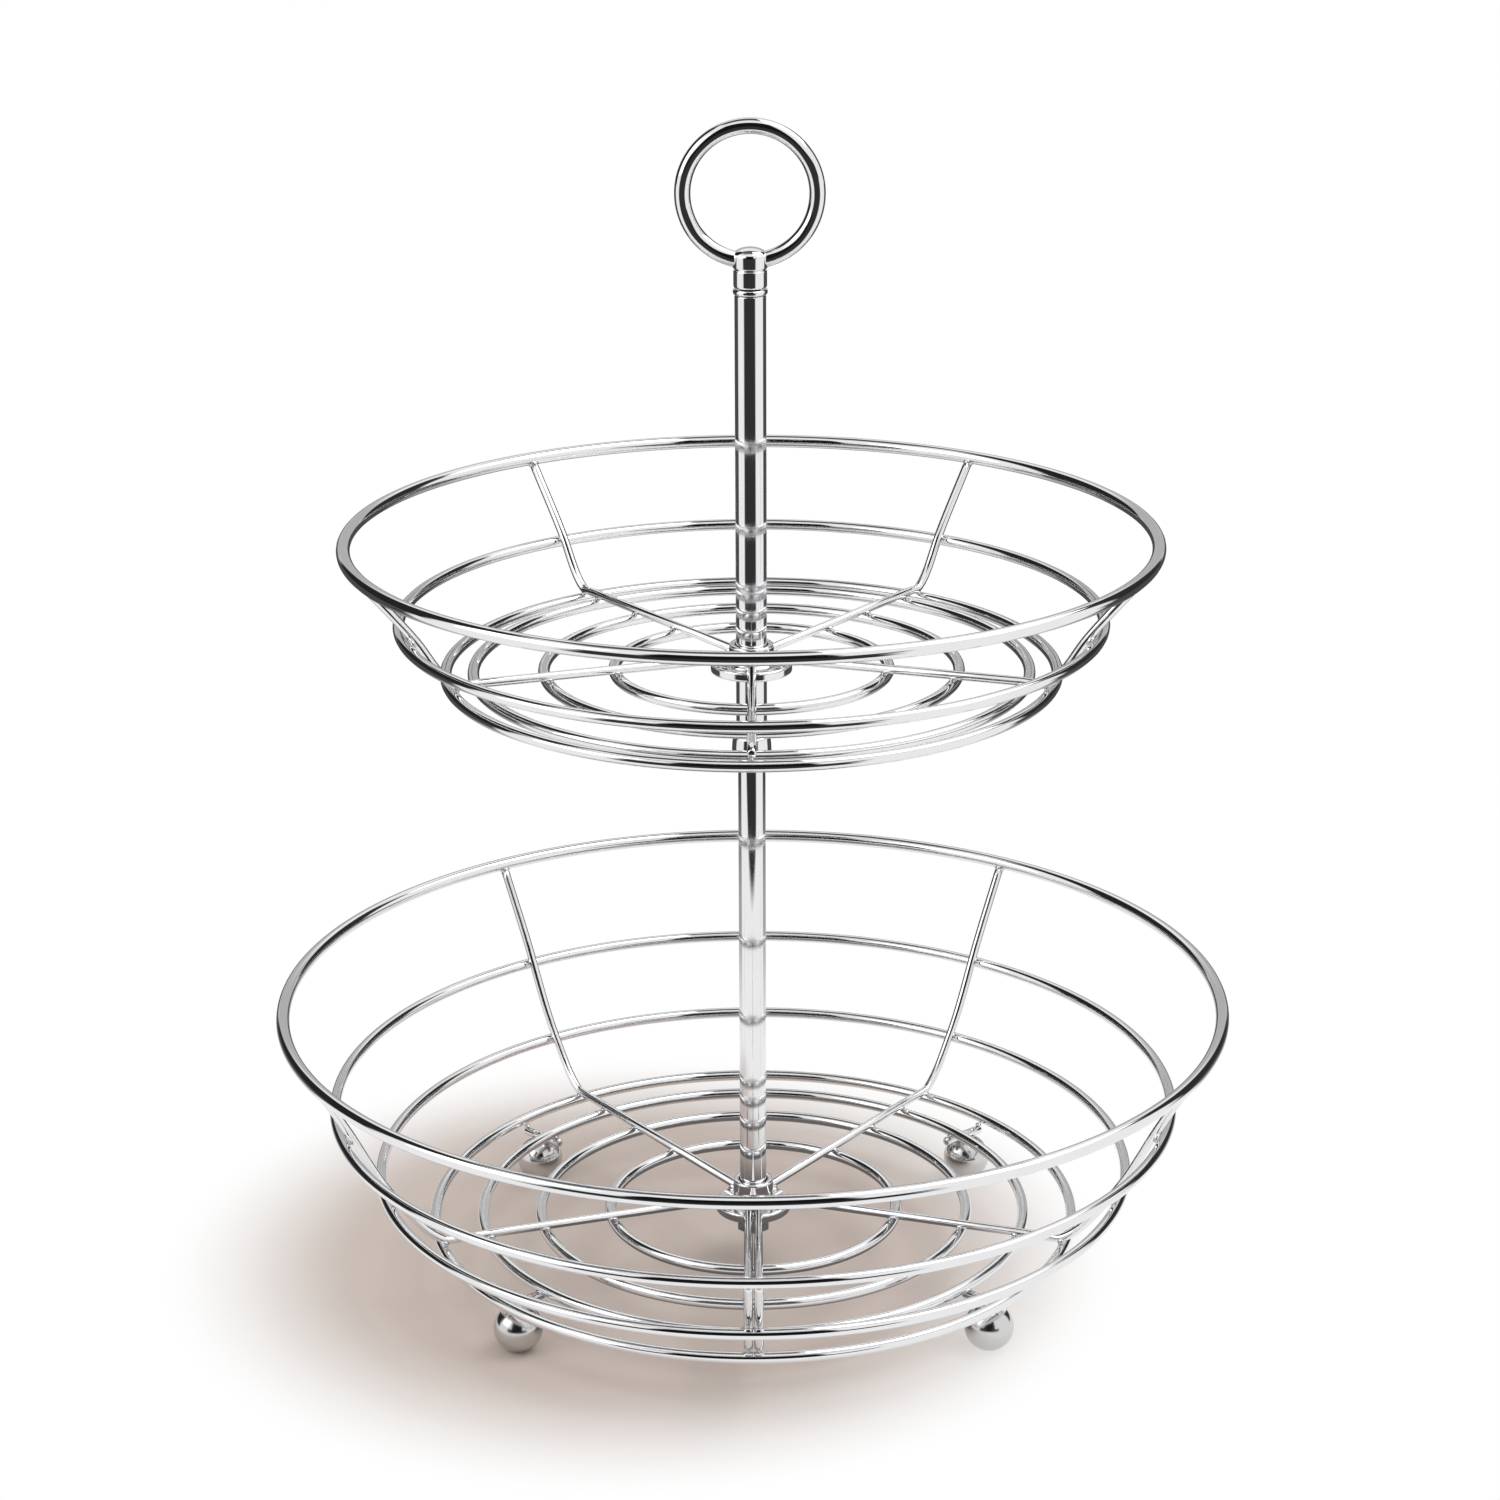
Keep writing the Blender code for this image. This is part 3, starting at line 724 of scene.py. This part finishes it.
def feet():
    """Four balls, each ground flat at the bottom and welded to a bar under the base rings."""
    beads = Shape()
    outer_ring, inner_ring = lower_places[3], lower_places[4]
    lowest = -math.degrees(math.asin(BALL_CENTRE_Z / BALL_RADIUS))
    ball_profile = []
    for step in range(BALL_ARC_STEPS + 1):
        turn = math.radians(90 - (90 - lowest) * step / BALL_ARC_STEPS)
        ball_profile.append((BALL_RADIUS * math.cos(turn), BALL_RADIUS * math.sin(turn)))
    flat_radius = ball_profile[-1][0]
    ball_profile += [(flat_radius - BALL_FLAT_EASE, -BALL_CENTRE_Z), (0, -BALL_CENTRE_Z)]

    for number, angle in enumerate(FOOT_ANGLES, start=1):
        side = sidewards(angle)
        along = polar(1, 0, angle)
        low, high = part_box(f"foot_ball_{number}")
        foot_radius = math.hypot((low.x + high.x) / 2, (low.y + high.y) / 2)
        centre = polar(foot_radius, BALL_CENTRE_Z, angle)
        ball = Shape()
        ball.lathe(ball_profile, centre, BALL_STEPS)
        ball.build(f"foot_ball_{number}_turned", BALL, "steel_foot", f"foot_ball_{number}")

        bar_low, bar_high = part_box(f"foot_bar_{number}")
        bar_z = (bar_low.z + bar_high.z) / 2
        bar = Shape()
        bar.tube([polar(outer_ring.x - BAR_END_INSET, bar_z, angle),
                  polar(inner_ring.x - BAR_OVERHANG, bar_z, angle)], side, FOOT_BAR_WIRE / 2)
        bar.build(f"foot_bar_{number}_wire", CHROME, "chrome_rib", f"foot_bar_{number}")

        bead_z = (inner_ring.y + bar_z) / 2 + BAR_BEAD_RISE
        for spot_radius in (outer_ring.x - BAR_BEAD_INSET, inner_ring.x):
            beads.bead(polar(spot_radius, bead_z, angle), along, side, UP, FOOT_BAR_BEAD)
        beads.bead(centre + UP * (BALL_RADIUS - BALL_BEAD_SINK), along, side, UP, BALL_BEAD)
    beads.build("foot_welds", WELD, "chrome_rib")


feet()


# Stage: what the metal sees of the studio round it, a pale floor with painted shade and painted
# reflections, and two soft lamps

WHITE = grey(1.0)
DIFFUSE_LEVEL = grey(0.62)

# Patches of the white surround that shiny metal sees: degrees round from the front towards +X,
# degrees above the horizon, softness of the edge in degrees, level
STUDIO_PATCHES = (
    (150, 200, -90, 28, 6, 0.50),
    (-200, -150, -90, 28, 6, 0.50),
    (-150, -96, -90, 58, 3, 0.02),
    (113, 150, -90, 42, 3, 0.03),
    (-30, 24, -90, 50, 2, 0.008),
    (-47, -28, -90, 15, 3, 0.03),
    (22, 42, -90, 9, 3, 0.03))

# A grey strip overhead: degrees from the front over the top, share to the sides, each with the
# softness of its edge, and its level
STRIP_OVER = (86, 125, 1.5)
STRIP_ACROSS = (-0.42, 0.42, 0.06)
STRIP_LEVEL = grey(0.10)


def between(tree, value, low, high, edge):
    """1 between low and high, 0 outside them, with soft edges."""
    rise = map_range(tree, value, low - edge, low + edge, 0.0, 1.0, smooth=True)
    fall = map_range(tree, value, high - edge, high + edge, 1.0, 0.0, smooth=True)
    return maths(tree, "MULTIPLY", rise, fall)


def degrees_from_front(tree, value, parts):
    """The angle of a place or way from the front towards value, which is its X or Z part."""
    front = maths(tree, "MULTIPLY", parts["Y"], -1.0)
    return maths(tree, "DEGREES", maths(tree, "ARCTAN2", value, front))


def build_world():
    """White round the object, dimmer for the light on matt surfaces, patched for shiny metal."""
    world = bpy.data.worlds.new("studio")
    bpy.context.scene.world = world
    world.use_nodes = True
    tree = world.node_tree
    tree.nodes.clear()
    way = add_node(tree, "ShaderNodeTexCoord").outputs["Generated"]
    parts = add_node(tree, "ShaderNodeSeparateXYZ", {"Vector": way}).outputs
    about = degrees_from_front(tree, parts["X"], parts)
    above = maths(tree, "DEGREES", maths(tree, "ARCSINE", parts["Z"]))
    mirrored = WHITE
    for about_low, about_high, above_low, above_high, edge, level in STUDIO_PATCHES:
        inside = maths(tree, "MULTIPLY", between(tree, about, about_low, about_high, edge),
                       between(tree, above, above_low, above_high, edge))
        mirrored = mix_colour(tree, inside, mirrored, grey(level))
    over = degrees_from_front(tree, parts["Z"], parts)
    strip = maths(tree, "MULTIPLY", between(tree, over, *STRIP_OVER),
                  between(tree, parts["X"], *STRIP_ACROSS))
    mirrored = mix_colour(tree, strip, mirrored, STRIP_LEVEL)
    path = add_node(tree, "ShaderNodeLightPath").outputs
    seen = mix_colour(tree, path["Is Glossy Ray"], DIFFUSE_LEVEL, mirrored)
    seen = mix_colour(tree, path["Is Camera Ray"], seen, WHITE)
    sky = add_node(tree, "ShaderNodeBackground", {"Color": seen, "Strength": 1.0})
    add_node(tree, "ShaderNodeOutputWorld", {"Surface": sky.outputs["Background"]})


FLOOR_HALF = 9.0
# The darker warm floor tones are painted shade, mixed by a random grain
PAINTED_SHADE_TONES = ((0.70, 0.60, 0.54, 1), (0.75, 0.655, 0.60, 1))

# Near this place the floor is matt, painted a darker warm shade that also takes the real shadow,
# and it fades to plain white
SHADE_CENTRE = (-0.037, 0.006, 0.0)
SHADE_FADE = (0.088, 0.160)

# Painted reflections: dark parts of the floor that only shiny metal sees, in front of the object,
# behind and beside it, and a painted shade beneath it. Distances and heights along Y in metres,
# angles in degrees
PAINTED_REFLECTION_DARK = grey(0.035)
FRONT_ANGLES = (-48, 36, 5)
FRONT_FADE = (-0.36, -0.32, 1.0, 0.0)
BACK_FADES = ((0.18, 0.30, 0.0, 0.6), (0.33, 0.48, 0.0, 0.36))
BACK_MIDDLE_ANGLE = 2
BACK_ANGLE_FADE = (100, 105, 0.0, 1.0)
# painted shade under the object, seen only in reflections
PAINTED_SHADE_BENEATH_FADE = (0.060, 0.095, 0.75, 0.0)


def painted_reflection_share(tree, place):
    """How much painted reflection, dark to shiny metal only, the floor has at a place, from 0 to
    1.
    """
    parts = add_node(tree, "ShaderNodeSeparateXYZ", {"Vector": place}).outputs
    reach = add_node(tree, "ShaderNodeVectorMath", {0: place}, operation="LENGTH").outputs["Value"]
    about = degrees_from_front(tree, parts["X"], parts)
    in_front = maths(tree, "MULTIPLY", between(tree, about, *FRONT_ANGLES),
                     map_range(tree, parts["Y"], *FRONT_FADE))
    off_middle = maths(tree, "ABSOLUTE", maths(tree, "SUBTRACT", about, BACK_MIDDLE_ANGLE))
    behind = maths(tree, "ADD", *(map_range(tree, reach, *fade) for fade in BACK_FADES))
    behind = maths(tree, "MULTIPLY", behind, map_range(tree, off_middle, *BACK_ANGLE_FADE))
    beneath = map_range(tree, reach, *PAINTED_SHADE_BENEATH_FADE, smooth=True)
    return maths(tree, "MAXIMUM", maths(tree, "MAXIMUM", in_front, behind), beneath)


def build_floor():
    half = FLOOR_HALF
    mesh = bpy.data.meshes.new("floor")
    mesh.from_pydata([(-half, -half, 0), (half, -half, 0), (half, half, 0), (-half, half, 0)],
                     [], [(0, 1, 2, 3)])
    floor = bpy.data.objects.new("floor", mesh)
    bpy.context.scene.collection.objects.link(floor)
    floor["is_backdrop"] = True
    material, tree = new_material("pale_floor")
    place = add_node(tree, "ShaderNodeNewGeometry").outputs["Position"]
    path = add_node(tree, "ShaderNodeLightPath").outputs
    grain = add_node(tree, "ShaderNodeTexNoise", {"Vector": place, "Scale": 30.0, "Detail": 3.0})
    # painted shade: the darker warm tone of the floor near the object
    pale = mix_colour(tree, grain.outputs["Fac"], *PAINTED_SHADE_TONES)
    matt = add_node(tree, "ShaderNodeBsdfDiffuse", {"Color": pale})
    white = add_node(tree, "ShaderNodeEmission", {"Color": WHITE, "Strength": 1.0})
    dark = add_node(tree, "ShaderNodeEmission", {"Color": PAINTED_REFLECTION_DARK, "Strength": 1.0})
    from_shade = add_node(tree, "ShaderNodeVectorMath", {0: place, 1: SHADE_CENTRE},
                          operation="DISTANCE").outputs["Value"]
    far = map_range(tree, from_shade, *SHADE_FADE, 0.0, 1.0, smooth=True)
    seen = maths(tree, "MAXIMUM", path["Is Camera Ray"], path["Is Glossy Ray"])
    plain = add_node(tree, "ShaderNodeMixShader",
                     {0: maths(tree, "MULTIPLY", far, seen), 1: matt.outputs[0],
                      2: white.outputs[0]})
    # painted reflection: the floor turns dark to glossy rays in these patches
    share = maths(tree, "MULTIPLY", painted_reflection_share(tree, place), path["Is Glossy Ray"])
    surface = add_node(tree, "ShaderNodeMixShader",
                       {0: share, 1: plain.outputs[0], 2: dark.outputs[0]})
    add_node(tree, "ShaderNodeOutputMaterial", {"Surface": surface.outputs[0]})
    mesh.materials.append(material)


LAMP_TARGET = Vector((0, 0, 0.1))
LAMP_DISTANCE = 1.3


def soft_lamp(name, direction, size, power):
    lamp = bpy.data.lights.new(name, "AREA")
    lamp.shape = "SQUARE"
    lamp.size = size
    lamp.energy = power
    item = bpy.data.objects.new(name, lamp)
    bpy.context.scene.collection.objects.link(item)
    way = Vector(direction).normalized()
    item.location = LAMP_TARGET + way * LAMP_DISTANCE
    item.rotation_mode = "QUATERNION"
    item.rotation_quaternion = way.to_track_quat("Z", "Y")


build_world()
build_floor()
soft_lamp("key_lamp", (0.46, 0.08, 0.885), 0.9, 6.0)
soft_lamp("fill_lamp", (-0.76, -0.35, 0.547), 0.8, 3.0)


# Camera, fitted to the photograph. Angles in degrees

PHOTO_FOCAL_PX = 3547
PHOTO_SIZE_PX = 1500
SENSOR_MM = 36
CAMERA_PLACE = (0, -1.0550, 0.53555)
CAMERA_PITCH = 18.77
CAMERA_YAW = -0.03
CAMERA_ROLL = -0.20


def build_camera():
    data = bpy.data.cameras.new("photo_camera")
    data.sensor_width = SENSOR_MM
    data.lens = PHOTO_FOCAL_PX / PHOTO_SIZE_PX * SENSOR_MM
    data.clip_start = 0.05
    data.clip_end = 50
    camera = bpy.data.objects.new("photo_camera", data)
    bpy.context.scene.collection.objects.link(camera)
    camera.matrix_world = (Matrix.Translation(CAMERA_PLACE)
                           @ Matrix.Rotation(math.radians(-CAMERA_YAW), 4, "Z")
                           @ Matrix.Rotation(math.radians(90 - CAMERA_PITCH), 4, "X")
                           @ Matrix.Rotation(math.radians(CAMERA_ROLL), 4, "Z"))
    bpy.context.scene.camera = camera


build_camera()
bpy.context.scene.view_settings.view_transform = "Standard"

low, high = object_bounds()
